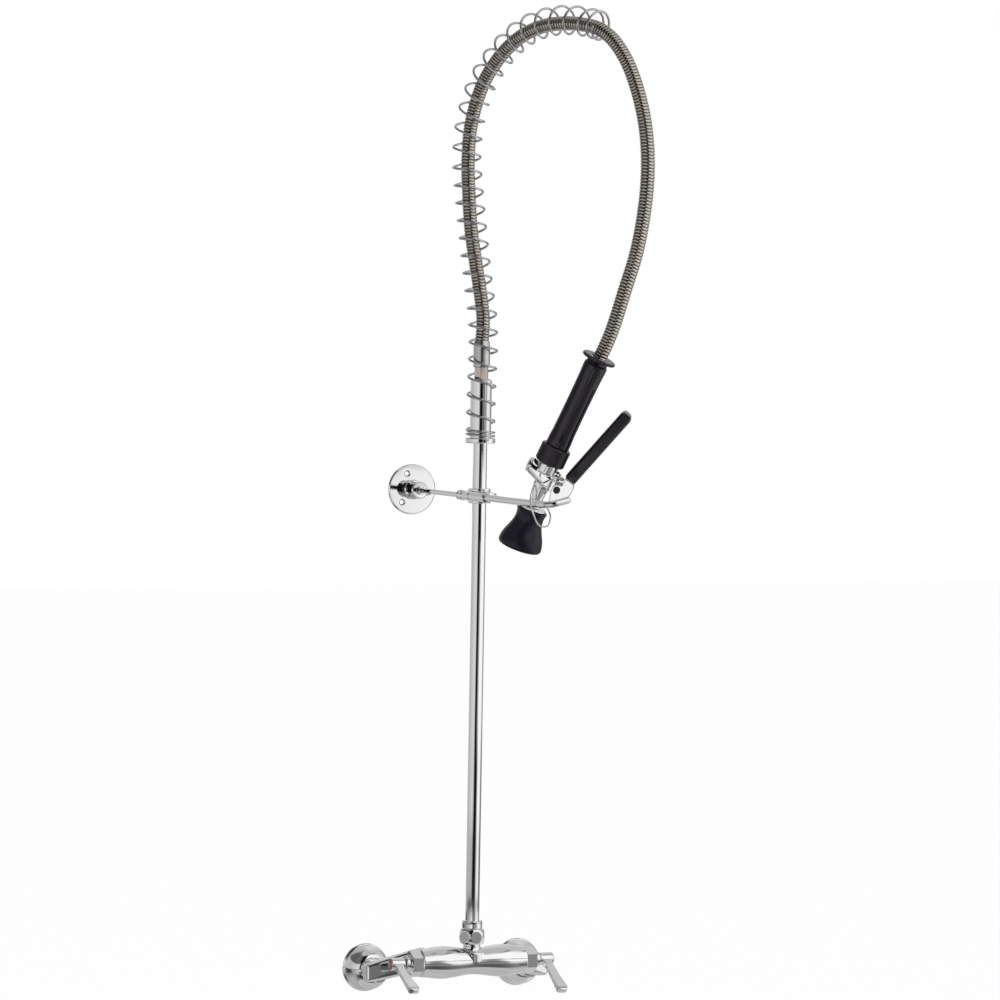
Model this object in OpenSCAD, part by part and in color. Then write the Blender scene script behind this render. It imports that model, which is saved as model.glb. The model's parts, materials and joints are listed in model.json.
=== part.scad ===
// Wall-mounted pre-rinse faucet: a mixing valve with two lever handles, a tall riser, a sprung
// overhead hose and a squeeze valve that hangs by a wire ring on a finger hook.
// Origin: midway between the two water inlets, on the wall. X right, -Y out of the wall, Z up.

/* [Wall inlets] */
// Distance between the two inlets
inlet_centres = 203.2; // [198:0.2:212]
// Distance from the wall to the riser
reach = 101; // [98:1:112]
// Height of the valve body's axis above the inlets
body_rise = 16.5; // [14:0.5:20]
// Diameter of the bell flanges against the wall
bell_d = 59.5; // [54:0.5:68]
// Depth of the bell flanges
bell_depth = 30; // [24:1:34]
// Diameter of the inlet shanks inside the bells
shank_d = 27; // [25:0.5:29]
// Drilled diameter of the threaded water inlets
inlet_d = 18.2; // [16:0.2:20]
// Length of the thread in the water inlets
inlet_thread = 18; // [12:1:22]
// Height of the forged supply arms
arm_h = 22; // [20:0.5:26]
// Thickness of the supply arms, front to back
arm_t = 16; // [14:0.5:20]

/* [Valve body] */
// Half length of the body, centre to end
body_half = 68.5; // [66:0.5:74]
// Diameter of the two round lobes
lobe_d = 40; // [37:0.5:44]
// Diameter of the pinched waist
waist_d = 32; // [28:0.5:36]
// Diameter of the body's ends
end_d = 34.6; // [32:0.2:38]
// Diameter of the cartridge chambers
chamber_d = 24; // [22:0.5:26]
// Distance from the centre to the two back ports
port_x = 52; // [49:0.5:55]
// Width across the flats of the bonnets
bonnet_af = 29; // [27:0.5:32]
// Length of the bonnets' hexagon
bonnet_len = 13.5; // [11:0.5:16]

/* [Handles] */
// Diameter of the handle hubs
hub_d = 15.6; // [14.5:0.1:18]
// Length of the handle hubs
hub_len = 18.5; // [16:0.5:20]
// Length of a lever from the stem's axis to its tip
lever_len = 67; // [60:0.5:78]
// Width of a lever at its tip
lever_w = 13; // [10:0.5:15]
// Slope of the closed cold lever below horizontal
lever_droop = 29; // [20:0.5:40]
// How much higher the closed hot lever rests
hot_lift = 6.5; // [0:0.5:10]
// Diameter of the valve stems
stem_d = 8; // [7:0.2:9]

/* [Riser] */
// Outside diameter of the riser pipe
riser_d = 17.1; // [16:0.1:18]
// Bore of the riser pipe
riser_bore = 12.5; // [10:0.5:13.5]
// Height of the riser's top end above the inlets
riser_top = 668; // [640:1:700]
// Diameter of the ball-shaped coupling nut
ball_d = 32.8; // [31:0.2:36]
// Height of the coupling nut
ball_h = 18.5; // [16:0.5:20]
// Diameter of the collar on the coupling nut
collar_d = 25; // [22:0.5:28]
// Height of the collar on the coupling nut
collar_h = 10; // [7:0.5:13]

/* [Wall bracket and hook] */
// Height of the wall bracket above the inlets
bracket_z = 588.5; // [560:0.5:610]
// Distance of the bracket's rod from the riser's axis
rod_offset = 15.4; // [15.2:0.1:18]
// Diameter of the bracket's rod
rod_d = 6.4; // [5.5:0.1:6.8]
// Distance of the bracket's wall disc behind the inlets
disc_back = 87; // [70:1:100]
// Diameter of the wall disc
disc_d = 63.4; // [58:0.2:70]
// Thickness of the wall disc
disc_t = 3.2; // [2.6:0.2:5]
// Circle of the three screw holes in the wall disc
disc_pcd = 42; // [38:0.5:46]
// Diameter of the screw holes in the wall disc
disc_hole = 5.2; // [4:0.2:6]
// Diameter of the clamp's barrel
barrel_d = 12.4; // [11.6:0.2:13]
// Reach of the barrel from the riser towards the wall
barrel_in = 26; // [24:1:34]
// Reach of the barrel from the riser away from the wall
barrel_out = 61; // [52:1:70]
// Diameter of the finger hook
hook_d = 8.2; // [8:0.1:9]
// Reach of the hook from the riser's axis
hook_reach = 255; // [235:1:280]
// Bend radius of the hook
hook_bend = 10; // [8:0.5:14]
// Rise of the hook's crook above horizontal
crook_rise = 14; // [0:1:30]
// Sideways length of the crook from the hook's axis
crook_len = 28; // [22:1:36]

/* [Hose and spring] */
// Diameter over the ribs of the hose
hose_d = 17.4; // [16:0.2:18.4]
// Depth of the hose's ribs
rib_depth = 0.8; // [0.3:0.1:1.1]
// Number of ribs on the hose
rib_count = 84; // [40:1:150]
// Bore of the hose's steel cover
cover_bore = 13.2; // [12.6:0.1:14]
// Diameter of the hose's inner tube
liner_d = 11.2; // [10:0.1:11.6]
// Bore of the hose's inner tube
liner_bore = 9.2; // [8.6:0.1:9.4]
// Outside diameter of the overhead spring
spring_d = 36.6; // [35.6:0.2:38]
// Wire diameter of the overhead spring
spring_wire = 3; // [2.4:0.1:3.2]
// Turns of the overhead spring
spring_turns = 31.5; // [25:0.5:33]
// Diameter of the spring's seat on the sleeve
seat_d = 36.5; // [35:0.5:42]
// Diameter of the sleeve inside the spring
sleeve_d = 26; // [23:0.5:28]
// Length of the sleeve above its seat
sleeve_len = 72; // [60:1:84]

/* [Squeeze valve] */
// Diameter of the grip
grip_d = 29; // [28:0.5:31]
// Length of the grip
grip_len = 111.2; // [105:0.5:118]
// Diameter of the guard above the grip
guard_d = 41.7; // [38:0.1:50]
// Diameter of the collar below the grip
grip_collar_d = 36.4; // [33:0.2:37]
// Length of the collar below the grip
grip_collar_len = 22.6; // [18:0.2:24]
// Travel of the squeeze lever in degrees
squeeze_angle = 16; // [8:1:16]
// Opening angle of the lever from the grip
lever_open = 15.8; // [15:0.1:20]
// Length of the lever's black cover
cover_len = 107; // [90:1:115]
// Thickness of the lever's black cover
cover_t = 14.8; // [12:0.2:16]
// Width of the lever
squeeze_w = 19; // [18:0.5:22]
// Diameter of the neck below the valve
neck_d = 16; // [14:0.5:17]
// Diameter of the chrome ring above the spray bumper
ring_d = 33; // [28:0.5:36]
// Diameter of the bumper's mouth
mouth_d = 53.6; // [50:0.2:58]
// Length of the rubber bumper
bumper_len = 49; // [46:0.5:52]
// Number of holes in the outer circle of the spray face
spray_holes = 16; // [8:1:20]
// Wire diameter of the hanging ring
ring_wire = 2; // [1.6:0.1:2.4]

/* [Hidden] */
$fn = 48;
eps = 0.01;
CHROME = [0.80, 0.81, 0.83];
STEEL = [0.66, 0.67, 0.69];
DARK = [0.10, 0.10, 0.11];
// Clearances: a running fit, a seated fit, and the gap between pieces that only lie side by side
run_gap = 0.06;
seat_gap = 0.1;
side_gap = 0.3;
// Valve body
neck_h = 22;
neck_top = body_rise + neck_h;
neck_d_top = riser_d + 4;
flare = 6;
socket_depth = 8;
chamber_in = 36;
port_len = 23;
port_d = 26;
spigot_d = 18;
water_d = 12;
seal_t = 1.5;
bonnet_spigot = 8;
bonnet_collar = 6;
hub_in = body_half + bonnet_len + bonnet_collar + 1;
hub_out = hub_in + hub_len;
index_t = 1.6;
index_sink = 1.4;
web_t = 6;
screw_d = 4;
// Supply arms
arm_front = 58;
arm_end = 19;
block_w = 14;
bevel = 2;
// Riser and its coupling
seal_h = 4.5;
ball_top = neck_top + ball_h;
collar_top = ball_top + collar_h;
// Wall bracket
rod_x = -rod_offset;
clamp_y = 23;
clamp_h = 18;
clamp_wall = 5;
clamp_ear = 7;
rod_engaged = 30;
boss_len = 27;
bracket_travel = disc_back;
// Sleeve, hose fittings and spring
seat_t = 6.5;
seat_z = riser_top - 15;
seat_top = seat_z + seat_t;
sleeve_top = seat_top + sleeve_len;
nut_h = 14;
ferrule_h = 33;
ferrule_z = sleeve_top + nut_h;
ferrule_d = 20.5;
barb_d = 7.6;
barb_bore = 5;
end_pitch = 4.4;
close_turns = 1.6;
last_close = 14.6;
mid_turns = 0.527;
mid_run = 0.503;
plan_turn = 25;
// Squeeze valve: its own frame has Z along the grip and X towards the lever; its origin is taken
// from the riser's axis, as the routes below are
hand_origin = [6.6, -145.8, 587.6];
hand_turns = [-45.4, 26.1, 19.75];
pivot = [22, 0, 28.7];
chamber_z = 41.5;
chamber_r = 9.6;
collar_z = 52.6;
grip_z = collar_z + grip_collar_len;
grip_top = grip_z + grip_len;
guard_t = 4;
guard_hub = 4.6;
guard_z = grip_top + guard_hub;
ferrule_bottom = grip_top - 28;
tube_top = ferrule_bottom - 8;
seat_x = 3;
cap_x = -21.5;
nose_x = 19.8;
stem_tip = 25;
nut_r = 5.4;
plunger_d = 5;
boss_half = 6.2;
lug_x = 13.5;
lug_low = 22;
lug_top = 39.5;
lug_half = 9.8;
// Steel bar inside the lever's cover: where it leaves the heel, and its section and length
bar_root = [31.1, 0, 45];
bar_t = 6;
bar_w = 9;
bar_len = 82;
// Outline of the lever's heel, and of the slot between its ears
HEEL = [
    [25.5, 46.4], [38.4, 44.1], [39.6, 38], [39.6, 31], [37.6, 25], [33.5, 20], [27, 15], [21, 11],
    [19, 13], [17.2, 20], [15.8, 25], [15.6, 30], [17.4, 34], [21, 36], [25.3, 36.5]
];
SLOT = [[0, 60], [25.4, 48], [25.4, 37], [26.6, 35], [29.2, 24], [26, 17], [21, 5], [0, 5]];
// Spray head: its own frame has Z up along the neck
head_at = [4, 0, 12.6];
head_tilt = -5.5;
ring_z = -16.5;
ring_t = 3.2;
bumper_z = ring_z - ring_t - side_gap;
face_z = bumper_z - 24;
nozzle_d = 24;
// Outside of the bell: how far inside the mouth's radius, and at what share of the length
BELL = [
    [9.2, 0.09], [9.7, 0.16], [9.7, 0.24], [9.3, 0.31], [8.3, 0.39], [6.9, 0.47], [5.2, 0.55],
        [3.4, 0.63],
    [1.9, 0.71], [0.8, 0.79], [0.2, 0.86], [0, 0.92]
];
// Hose route from the lower ferrule to the upper one
HOSE = [
    [0, 0, 752], [0, 0, 776], [0.5, -1, 805], [-2, 4, 838], [-5.5, 12, 875], [-9, 19, 912],
    [-11, 23.5, 956], [-12, 25.5, 1000], [-10, 21.5, 1044], [-3, 6.5, 1088], [8, -17, 1121],
    [20, -43, 1143], [31, -66, 1154.5], [42, -90, 1160.5], [54, -115.5, 1162],
    [65.5, -140.5, 1160], [77, -165, 1154], [87.5, -186, 1139], [97, -205, 1113],
    [104, -220, 1080], [109, -231, 1043], [111, -237, 1005], [110, -239, 966], [106, -237.5, 925],
    [99, -235, 885], [88.5, -230, 845], [75.7, -216, 788.5], [58, -198, 737]
];
// Centreline of the overhead spring
SPRING = [
    [0, 0, 661.3], [0, 0, 672], [0, 0, 700], [0.5, -1, 740], [1, -2, 773], [0, 0, 808],
    [-3, 6, 842], [-6, 12.5, 882], [-8.8, 18.5, 924], [-11.4, 24, 966], [-13, 27.5, 1000],
    [-12, 26, 1032], [-8.5, 18.5, 1064], [-2, 4, 1096], [8.5, -18, 1124], [20, -42.5, 1145],
    [31, -66, 1157.5], [42.5, -90.5, 1164], [54.5, -116, 1166], [66.5, -142, 1163.5],
    [74, -158, 1160], [79, -169, 1157]
];
// Hinge line of the hanging ring: it crosses the neck here, along X
ring_pivot = [11, -147.7, 585.2];
ring_depth = 6.4;
// Wire of the hanging ring, from the neck's left side to its right side
RING = [
    [4.6, -147.7, 585.2], [1.6, -148.2, 585.3], [0.2, -153, 585.8], [1.4, -163, 587.8],
    [2.4, -171, 591.5], [0.5, -179, 601], [-8, -193, 609.5], [-17, -206, 604],
    [-21.4, -212.5, 593], [-20.6, -216, 581], [-13.5, -212, 567.5], [-2, -200, 561],
    [12, -187, 561.5], [20, -176, 571], [22, -163, 579.5], [22, -152, 584.6],
    [20.4, -148.2, 585.2], [17.4, -147.7, 585.2]
];
// Square to the ring's plane
RING_NORMAL = [0.73, -0.2, 0.66];

// ---- Curves and swept tubes ----

function spline(a, b, c, d, t) =
    0.5 * (2 * b + (c - a) * t + (2 * a - 5 * b + 4 * c - d) * t * t + (3 * b - a - 3 * c + d) * t * t
        * t);

// Point of a route at u, where whole numbers are its control points
function route(P, u) =
    let (n = len(P) - 1, i = max(0, min(floor(u), n - 1)), b = P[i], c = P[i + 1])
    let (a = i > 0 ? P[i - 1] : 2 * b - c, d = i < n - 1 ? P[i + 2] : 2 * c - b)
    spline(a, b, c, d, u - i);

// Pairs of run length and u along a route
function runs(P, k = 8) = [
    for (i = 0, q = P[0], s = 0; i <= k * (len(P) - 1);
        i = i + 1, p = route(P, i / k), s = s + norm(p - q), q = p) [s, i / k]
];
function total(T) = T[len(T) - 1][0];
function along(P, T, s) = route(P, lookup(s, T));
function unit(v) = v / norm(v);
function heading(P, T, s) =
    unit(along(P, T, min(s + 0.5, total(T))) - along(P, T, max(s - 0.5, 0)));
// Normal and binormal of a route that runs near the overhead loop's upright plane
function side_axis(t) = let (n = [cos(plan_turn), sin(plan_turn), 0]) unit(n - (n * t) * t);

// Ring of points round a place on a route
function ring(P, T, s, r, sides) =
    let (c = along(P, T, s), t = heading(P, T, s), b = side_axis(t), n = cross(t, b))
    [for (k = [0 : sides - 1]) c + r * (cos(360 * k / sides) * b + sin(360 * k / sides) * n)];

function flat(L) = [for (a = L) for (b = a) b];

// Triangles that join successive rings of points
function skin(rings, sides, first = 0, turned = false) = flat([
    for (i = [0 : rings - 2]) for (k = [0 : sides - 1])
        let (a = first + i * sides + k, b = first + i * sides + (k + 1) % sides)
        turned ? [[a, a + sides, b], [b, a + sides, b + sides]]
               : [[a, b, a + sides], [b, b + sides, a + sides]]
]);

// Triangles that close the last or first ring of a solid rod
function lid(sides, first, turned = false) = [
    for (k = [1 : sides - 2])
        turned ? [first, first + k, first + k + 1] : [first, first + k + 1, first + k]
];

// Triangles that join an outer ring to an inner ring at the end of a hose
function rim(sides, outer, inner, turned = false) = flat([
    for (k = [0 : sides - 1])
        let (a = outer + k, b = outer + (k + 1) % sides, c = inner + k, d = inner + (k + 1) % sides)
        turned ? [[a, c, b], [b, c, d]] : [[a, b, c], [b, d, c]]
]);

// Hose along a route: outer rings as [run length, radius], inner stations and a bore radius
module hose(P, T, outer, stations, bore, sides) {
    n = len(outer);
    m = len(stations);
    points = concat(
        flat([for (o = outer) ring(P, T, o[0], o[1], sides)]),
        flat([for (s = stations) ring(P, T, s, bore, sides)])
    );
    faces = concat(
        skin(n, sides),
        skin(m, sides, n * sides, true),
        rim(sides, 0, n * sides, true),
        rim(sides, (n - 1) * sides, (n + m - 1) * sides)
    );
    polyhedron(points, faces);
}

// Rod through rings of points
module rod(rings, sides) {
    n = len(rings);
    faces = concat(skin(n, sides), lid(sides, 0), lid(sides, (n - 1) * sides, true));
    polyhedron(flat(rings), faces);
}

// Rings of a wire whose centres are listed; `away` gives a direction that the wire never follows
function wire_rings(C, away, r, sides) = [
    for (i = [0 : len(C) - 1])
        let (t = unit(C[min(i + 1, len(C) - 1)] - C[max(i - 1, 0)]))
        let (b = unit(away[i] - (away[i] * t) * t), n = cross(t, b))
        [for (k = [0 : sides - 1]) C[i] + r * (cos(360 * k / sides) * b + sin(360 * k / sides) * n)]
];

// Least gap between the turns of a wire, measured between its centres one turn apart
function turn_gap(C, per_turn, wire) = min([
    for (i = [0 : len(C) - per_turn]) for (j = [per_turn - 2 : per_turn + 2])
        if (i + j < len(C)) norm(C[i + j] - C[i]) - wire
]);

// ---- Small helpers ----

// Cylinder that runs from a to b
module span(a, b, d) {
    v = b - a;
    translate(a) rotate([0, acos(v[2] / norm(v)), atan2(v[1], v[0])]) cylinder(h = norm(v), d = d);
}

// Tube from z = 0 up
module tube(h, od, id) {
    difference() {
        cylinder(h = h, d = od);
        translate([0, 0, -eps]) cylinder(h = h + 2 * eps, d = id);
    }
}

// Cylinder with chamfered ends
module turned(h, d, c = 0.8) {
    rotate_extrude() polygon([[0, 0], [d / 2 - c, 0], [d / 2, c], [d / 2, h - c], [d / 2 - c, h],
        [0, h]]);
}

// Hexagon bar with turned corners
module hex_bar(h, af, c = 1.2) {
    corner = af / sqrt(3);
    intersection() {
        cylinder(h = h, r = corner, $fn = 6);
        rotate_extrude() polygon([[0, 0], [corner - c, 0], [corner, c], [corner, h - c],
            [corner - c, h], [0, h]]);
    }
}

// Frames: at the riser's axis, out along a handle's stem, in the hand unit, in the spray head
module at_riser(z = 0) {
    translate([0, -reach, z]) children();
}
module at_stem(side) {
    translate([0, -reach, body_rise]) mirror([side > 0 ? 0 : 1, 0, 0]) rotate([0, 90, 0]) children();
}
module in_hand() {
    at_riser() translate(hand_origin) rotate([0, 0, hand_turns[0]]) rotate([0, hand_turns[1], 0])
        rotate([0, 0, hand_turns[2]]) children();
}
module in_head() {
    in_hand() translate(head_at) rotate([0, head_tilt, 0]) children();
}

// ---- Wall inlets and supply arms ----

module inlet_flanges() {
    wall = 1.6;
    mouth = (shank_d + 2 * side_gap) / 2;
    dome = [for (a = [0 : 10 : 90]) [mouth + 1.2 + (bell_d / 2 - mouth - 3.2) * cos(a),
        4 + (bell_depth - 4) * sin(a)]];
    hollow = [for (a = [90 : -10 : 0]) [mouth + (bell_d / 2 - mouth - 3.6) * cos(a),
        3 + (bell_depth - 5) * sin(a)]];
    color(CHROME)
    for (x = [-inlet_centres / 2, inlet_centres / 2]) translate([x, 0, 0]) rotate([90, 0, 0])
        rotate_extrude() polygon(concat(
            [[bell_d / 2 - wall, 0], [bell_d / 2, 0.8], [bell_d / 2, 2.6], [bell_d / 2 - 1, 3.6]],
            dome, [[mouth, bell_depth]], hollow, [[bell_d / 2 - 3.6, 0]]
        ));
}

// One arm, on the right: an inlet shank, a bevelled forged bar and a spigot into the body
module arm() {
    inlet = [inlet_centres / 2, 0, 0];
    port = [port_x, 0, body_rise];
    shoulder = reach - port_len;
    difference() {
        union() {
            translate(inlet) rotate([90, 0, 0]) cylinder(h = arm_front - arm_t / 2, d = shank_d);
            // The block's outer end stands past the inlet; the bar rises from there to the port
            hull() {
                translate(inlet + [arm_end - block_w / 2, -arm_front + arm_t / 2, 0]) {
                    cube([block_w, arm_t - 2 * bevel, arm_h - 2 * bevel], center = true);
                    cube([block_w - 2 * bevel, arm_t, arm_h - 2 * bevel], center = true);
                    cube([block_w - 2 * bevel, arm_t - 2 * bevel, arm_h], center = true);
                }
                translate(port + [0, -arm_front - 4, 0]) rotate([90, 0, 0])
                    cylinder(h = 6, d = port_d + 2, $fn = 32);
            }
            translate(port + [0, -arm_front - 6, 0]) rotate([90, 0, 0])
                cylinder(h = shoulder - arm_front - 6, d = port_d);
            translate(port + [0, -shoulder + 1, 0]) rotate([90, 0, 0])
                cylinder(h = socket_depth - seal_t + 1 - seat_gap, d = spigot_d);
        }
        translate(inlet + [0, eps, 0]) rotate([90, 0, 0]) cylinder(h = inlet_thread + eps, d = inlet_d);
        translate(inlet) rotate([90, 0, 0]) cylinder(h = arm_front - arm_t / 2, d = water_d);
        span(inlet + [0, -arm_front + arm_t / 2, 0], port + [0, -arm_front - 8, 0], water_d - 4);
        translate(port + [0, -arm_front - 6, 0]) rotate([90, 0, 0]) cylinder(h = reach, d = water_d);
    }
}

module supply_arms() {
    color(CHROME) {
        arm();
        mirror([1, 0, 0]) arm();
    }
}

module port_seals() {
    color(DARK)
    for (x = [-port_x, port_x]) translate([x, -reach + port_len - socket_depth + seal_t, body_rise])
        rotate([90, 0, 0]) tube(seal_t, spigot_d, water_d + 1);
}

// ---- Valve body ----

// Radius of the hourglass body at a distance from its centre
function body_r(x) =
    let (lobe = lobe_d / 2, crest = body_half * 0.58)
    x < crest ? lobe - (lobe - waist_d / 2) * (1 + cos(180 * x / crest)) / 2
              : lobe - (lobe - end_d / 2) * (1 - cos(180 * (x - crest) / (body_half - crest))) / 2;

module faucet_body() {
    profile = [for (i = [-24 : 24]) [body_r(abs(i) * body_half / 24), i * body_half / 24]];
    color(CHROME)
    difference() {
        union() {
            translate([0, -reach, body_rise]) rotate([0, 90, 0])
                rotate_extrude() polygon(concat([[0, -body_half]], profile, [[0, body_half]]));
            // Neck that flares into the waist
            at_riser(body_rise) rotate_extrude() polygon(concat(
                [[0, 0], [neck_d_top / 2 + flare, 0]],
                [for (a = [0 : 15 : 90]) [neck_d_top / 2 + flare * (1 - sin(a)),
                    neck_h - 4 - flare * cos(a)]],
                [[neck_d_top / 2, neck_h], [0, neck_h]]
            ));
            for (x = [-port_x, port_x]) translate([x, -reach + port_len, body_rise])
                rotate([90, 0, 0]) cylinder(h = port_len, d = port_d);
        }
        for (side = [-1, 1]) at_stem(side) translate([0, 0, chamber_in])
            cylinder(h = body_half, d = chamber_d);
        at_stem(1) translate([0, 0, -body_half]) cylinder(h = 2 * body_half, d = water_d);
        at_riser(body_rise) cylinder(h = neck_h, d = water_d);
        at_riser(neck_top - socket_depth) cylinder(h = socket_depth + eps, d = riser_d + 2 * seat_gap);
        for (x = [-port_x, port_x]) translate([x, -reach + port_len, body_rise]) rotate([90, 0, 0]) {
            translate([0, 0, -eps]) cylinder(h = socket_depth + eps, d = spigot_d + 2 * seat_gap);
            cylinder(h = port_len, d = water_d + 1);
        }
    }
}

module cartridge(side) {
    length = body_half - bonnet_spigot - chamber_in - 2 * side_gap;
    at_stem(side) translate([0, 0, chamber_in + side_gap]) difference() {
        cylinder(h = length, d = chamber_d - 2 * seat_gap);
        translate([0, 0, length - 13]) cylinder(h = 14, d = stem_d + 2 * run_gap);
        translate([0, 0, -eps]) cylinder(h = 9, d = 10);
        // Side window towards the supply port
        translate([0, 0, 5]) rotate([-90, 0, 0]) cylinder(h = chamber_d, d = 7);
    }
}

module hot_cartridge() {
    color([0.86, 0.84, 0.78]) cartridge(-1);
}
module cold_cartridge() {
    color([0.86, 0.84, 0.78]) cartridge(1);
}

module bonnet(side) {
    at_stem(side) difference() {
        union() {
            translate([0, 0, body_half - bonnet_spigot])
                cylinder(h = bonnet_spigot + 1, d = chamber_d - 2 * seat_gap);
            translate([0, 0, body_half]) hex_bar(bonnet_len, bonnet_af);
            translate([0, 0, body_half + bonnet_len]) turned(bonnet_collar, hub_d + 4.4);
        }
        translate([0, 0, body_half - bonnet_spigot - 1])
            cylinder(h = body_half, d = stem_d + 2 * run_gap);
    }
}

module hot_bonnet() {
    color(CHROME) bonnet(-1);
}
module cold_bonnet() {
    color(CHROME) bonnet(1);
}

// ---- Handles ----

module stem(side) {
    length = hub_out - web_t - (body_half - bonnet_spigot - 12) - side_gap;
    at_stem(side) translate([0, 0, body_half - bonnet_spigot - 12]) difference() {
        cylinder(h = length, d = stem_d);
        translate([0, 0, length - 10]) cylinder(h = 11, d = screw_d - 0.4);
    }
}

module hot_stem() {
    color(STEEL) stem(-1);
}
module cold_stem() {
    color(STEEL) stem(1);
}

// Lever seen from the side: slim in the middle, thick at the hub and at the tip
module lever_side() {
    polygon([
        [-2, -4.4], [7, -4.2], [16, -3], [lever_len * 0.6, -2.6], [lever_len - 11, -3.4],
        [lever_len - 4, -4.2], [lever_len - 1.2, -3.6], [lever_len, -1.6], [lever_len, 1],
        [lever_len - 1.4, 3], [lever_len - 5, 4], [lever_len - 12, 3.4], [lever_len * 0.6, 2.4],
        [16, 2.8], [7, 4.2], [-2, 4.4]
    ]);
}

// Lever seen from above: a waist behind the hub and a round tip
module lever_plan() {
    tip_r = lever_w / 2;
    polygon(concat(
        [[-2, lever_w * 0.44], [8, lever_w * 0.42], [18, lever_w * 0.38], [lever_len - 14, tip_r - 0.2]],
        [for (a = [90 : -15 : -90]) [lever_len - tip_r * 0.7 + tip_r * 0.7 * cos(a), tip_r * sin(a)]],
        [[lever_len - 14, -tip_r + 0.2], [18, -lever_w * 0.38], [8, -lever_w * 0.42],
            [-2, -lever_w * 0.44]]
    ));
}

module handle(side) {
    middle = hub_in + hub_len / 2;
    difference() {
        union() {
            at_stem(side) translate([0, 0, hub_in]) turned(hub_len, hub_d, 1);
            translate([side * middle, -reach, body_rise])
                rotate([lever_droop - (side < 0 ? hot_lift : 0), 0, 0]) rotate([0, 0, -90])
                intersection() {
                    linear_extrude(20, center = true) lever_plan();
                    rotate([90, 0, 0]) linear_extrude(30, center = true) lever_side();
                }
        }
        at_stem(side) {
            cylinder(h = hub_out - web_t, d = stem_d + 2 * 0.02);
            cylinder(h = hub_out + 1, d = screw_d + 0.2);
            translate([0, 0, hub_out - index_sink]) cylinder(h = index_sink + 1, d = hub_d - 1.8);
        }
    }
}

module hot_handle() {
    color(CHROME) handle(-1);
}
module cold_handle() {
    color(CHROME) handle(1);
}

module index_ring(side) {
    d = hub_d - 1.8 - 2 * seat_gap;
    at_stem(side) translate([0, 0, hub_out - index_sink]) rotate_extrude() polygon([
        [screw_d + 0.2, 0], [d / 2, 0], [d / 2, index_t - 0.3], [d / 2 - 0.3, index_t],
            [screw_d + 0.2, index_t]
    ]);
}

module hot_index_ring() {
    color([0.80, 0.10, 0.08]) index_ring(-1);
}
module cold_index_ring() {
    color([0.10, 0.25, 0.70]) index_ring(1);
}

module handle_screw(side) {
    at_stem(side) translate([0, 0, hub_out - index_sink]) difference() {
        union() {
            translate([0, 0, -web_t - 7.5]) cylinder(h = web_t + 8, d = screw_d - 0.5);
            turned(2.4, 2 * screw_d - 0.4, 0.5);
        }
        translate([0, 0, 0.9]) cylinder(h = 2, r = 1.7, $fn = 6);
    }
}

module hot_handle_screw() {
    color(STEEL) handle_screw(-1);
}
module cold_handle_screw() {
    color(STEEL) handle_screw(1);
}

// ---- Coupling and riser ----

module coupling_nut() {
    flat_r = sqrt(pow(ball_d / 2, 2) - pow(7.4, 2));
    color(CHROME)
    at_riser(neck_top) difference() {
        translate([0, 0, ball_h / 2]) intersection() {
            sphere(d = ball_d);
            cube([ball_d, ball_d, ball_h], center = true);
            cylinder(h = ball_h, r = flat_r / cos(30), center = true, $fn = 6);
        }
        cylinder(h = 3 * ball_h, d = riser_d + 2 * seat_gap, center = true);
        translate([0, 0, -eps]) cylinder(h = seal_h + 0.5, d = riser_d + 3.8);
    }
}

module riser_collar() {
    color(CHROME)
    at_riser(ball_top) difference() {
        turned(collar_h, collar_d, 1.2);
        translate([0, 0, -1]) cylinder(h = collar_h + 2, d = riser_d + 2 * seat_gap);
    }
}

module riser_seal() {
    color(DARK) at_riser(neck_top) tube(seal_h, riser_d + 3.8 - 2 * seat_gap, riser_d + 2 * seat_gap);
}

module riser_pipe() {
    foot = neck_top - socket_depth + side_gap;
    color(CHROME) at_riser(foot) tube(riser_top - foot, riser_d, riser_bore);
}

// ---- Wall bracket and finger hook ----

// Places things on the bracket's rod, with Z pointing out of the wall
module on_rod(out = 0) {
    translate([rod_x, -reach - out, bracket_z]) rotate([90, 0, 0]) children();
}

module clamp_body() {
    bar = barrel_d - 1.2;
    color(CHROME)
    difference() {
        union() {
            on_rod(-barrel_in) cylinder(h = barrel_in + barrel_out, d = bar);
            // Turned rings along the barrel
            for (y = [-barrel_in, -14, 9, barrel_out - 30]) on_rod(y)
                turned(y == barrel_out - 30 ? 30 : 5, barrel_d, 0.8);
            at_riser(bracket_z - clamp_h / 2) intersection() {
                cylinder(h = clamp_h, d = riser_d + 2 * clamp_wall);
                translate([-40 - side_gap, -20, 0]) cube([40, 40, clamp_h]);
            }
            at_riser(bracket_z - barrel_d * 0.45) translate([-rod_offset, -clamp_y - 6, 0])
                cube([rod_offset - side_gap, 2 * clamp_y + 12, barrel_d * 0.9]);
        }
        at_riser(bracket_z - clamp_h) cylinder(h = 2 * clamp_h, d = riser_d + 2 * seat_gap);
        on_rod(-clamp_y - 8) cylinder(h = clamp_y + barrel_out - 20, d = rod_d + 2 * run_gap);
        on_rod(barrel_out - 30) cylinder(h = 31, d = hook_d + 2 * seat_gap);
        for (y = [-clamp_y, clamp_y]) at_riser(bracket_z) translate([-7, y, 0]) rotate([0, 90, 0])
            cylinder(h = 8, d = 5);
        for (y = [-barrel_in + 6, barrel_out - 7]) on_rod(y) rotate([-90, 0, 0])
            cylinder(h = barrel_d, d = 5);
    }
}

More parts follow.
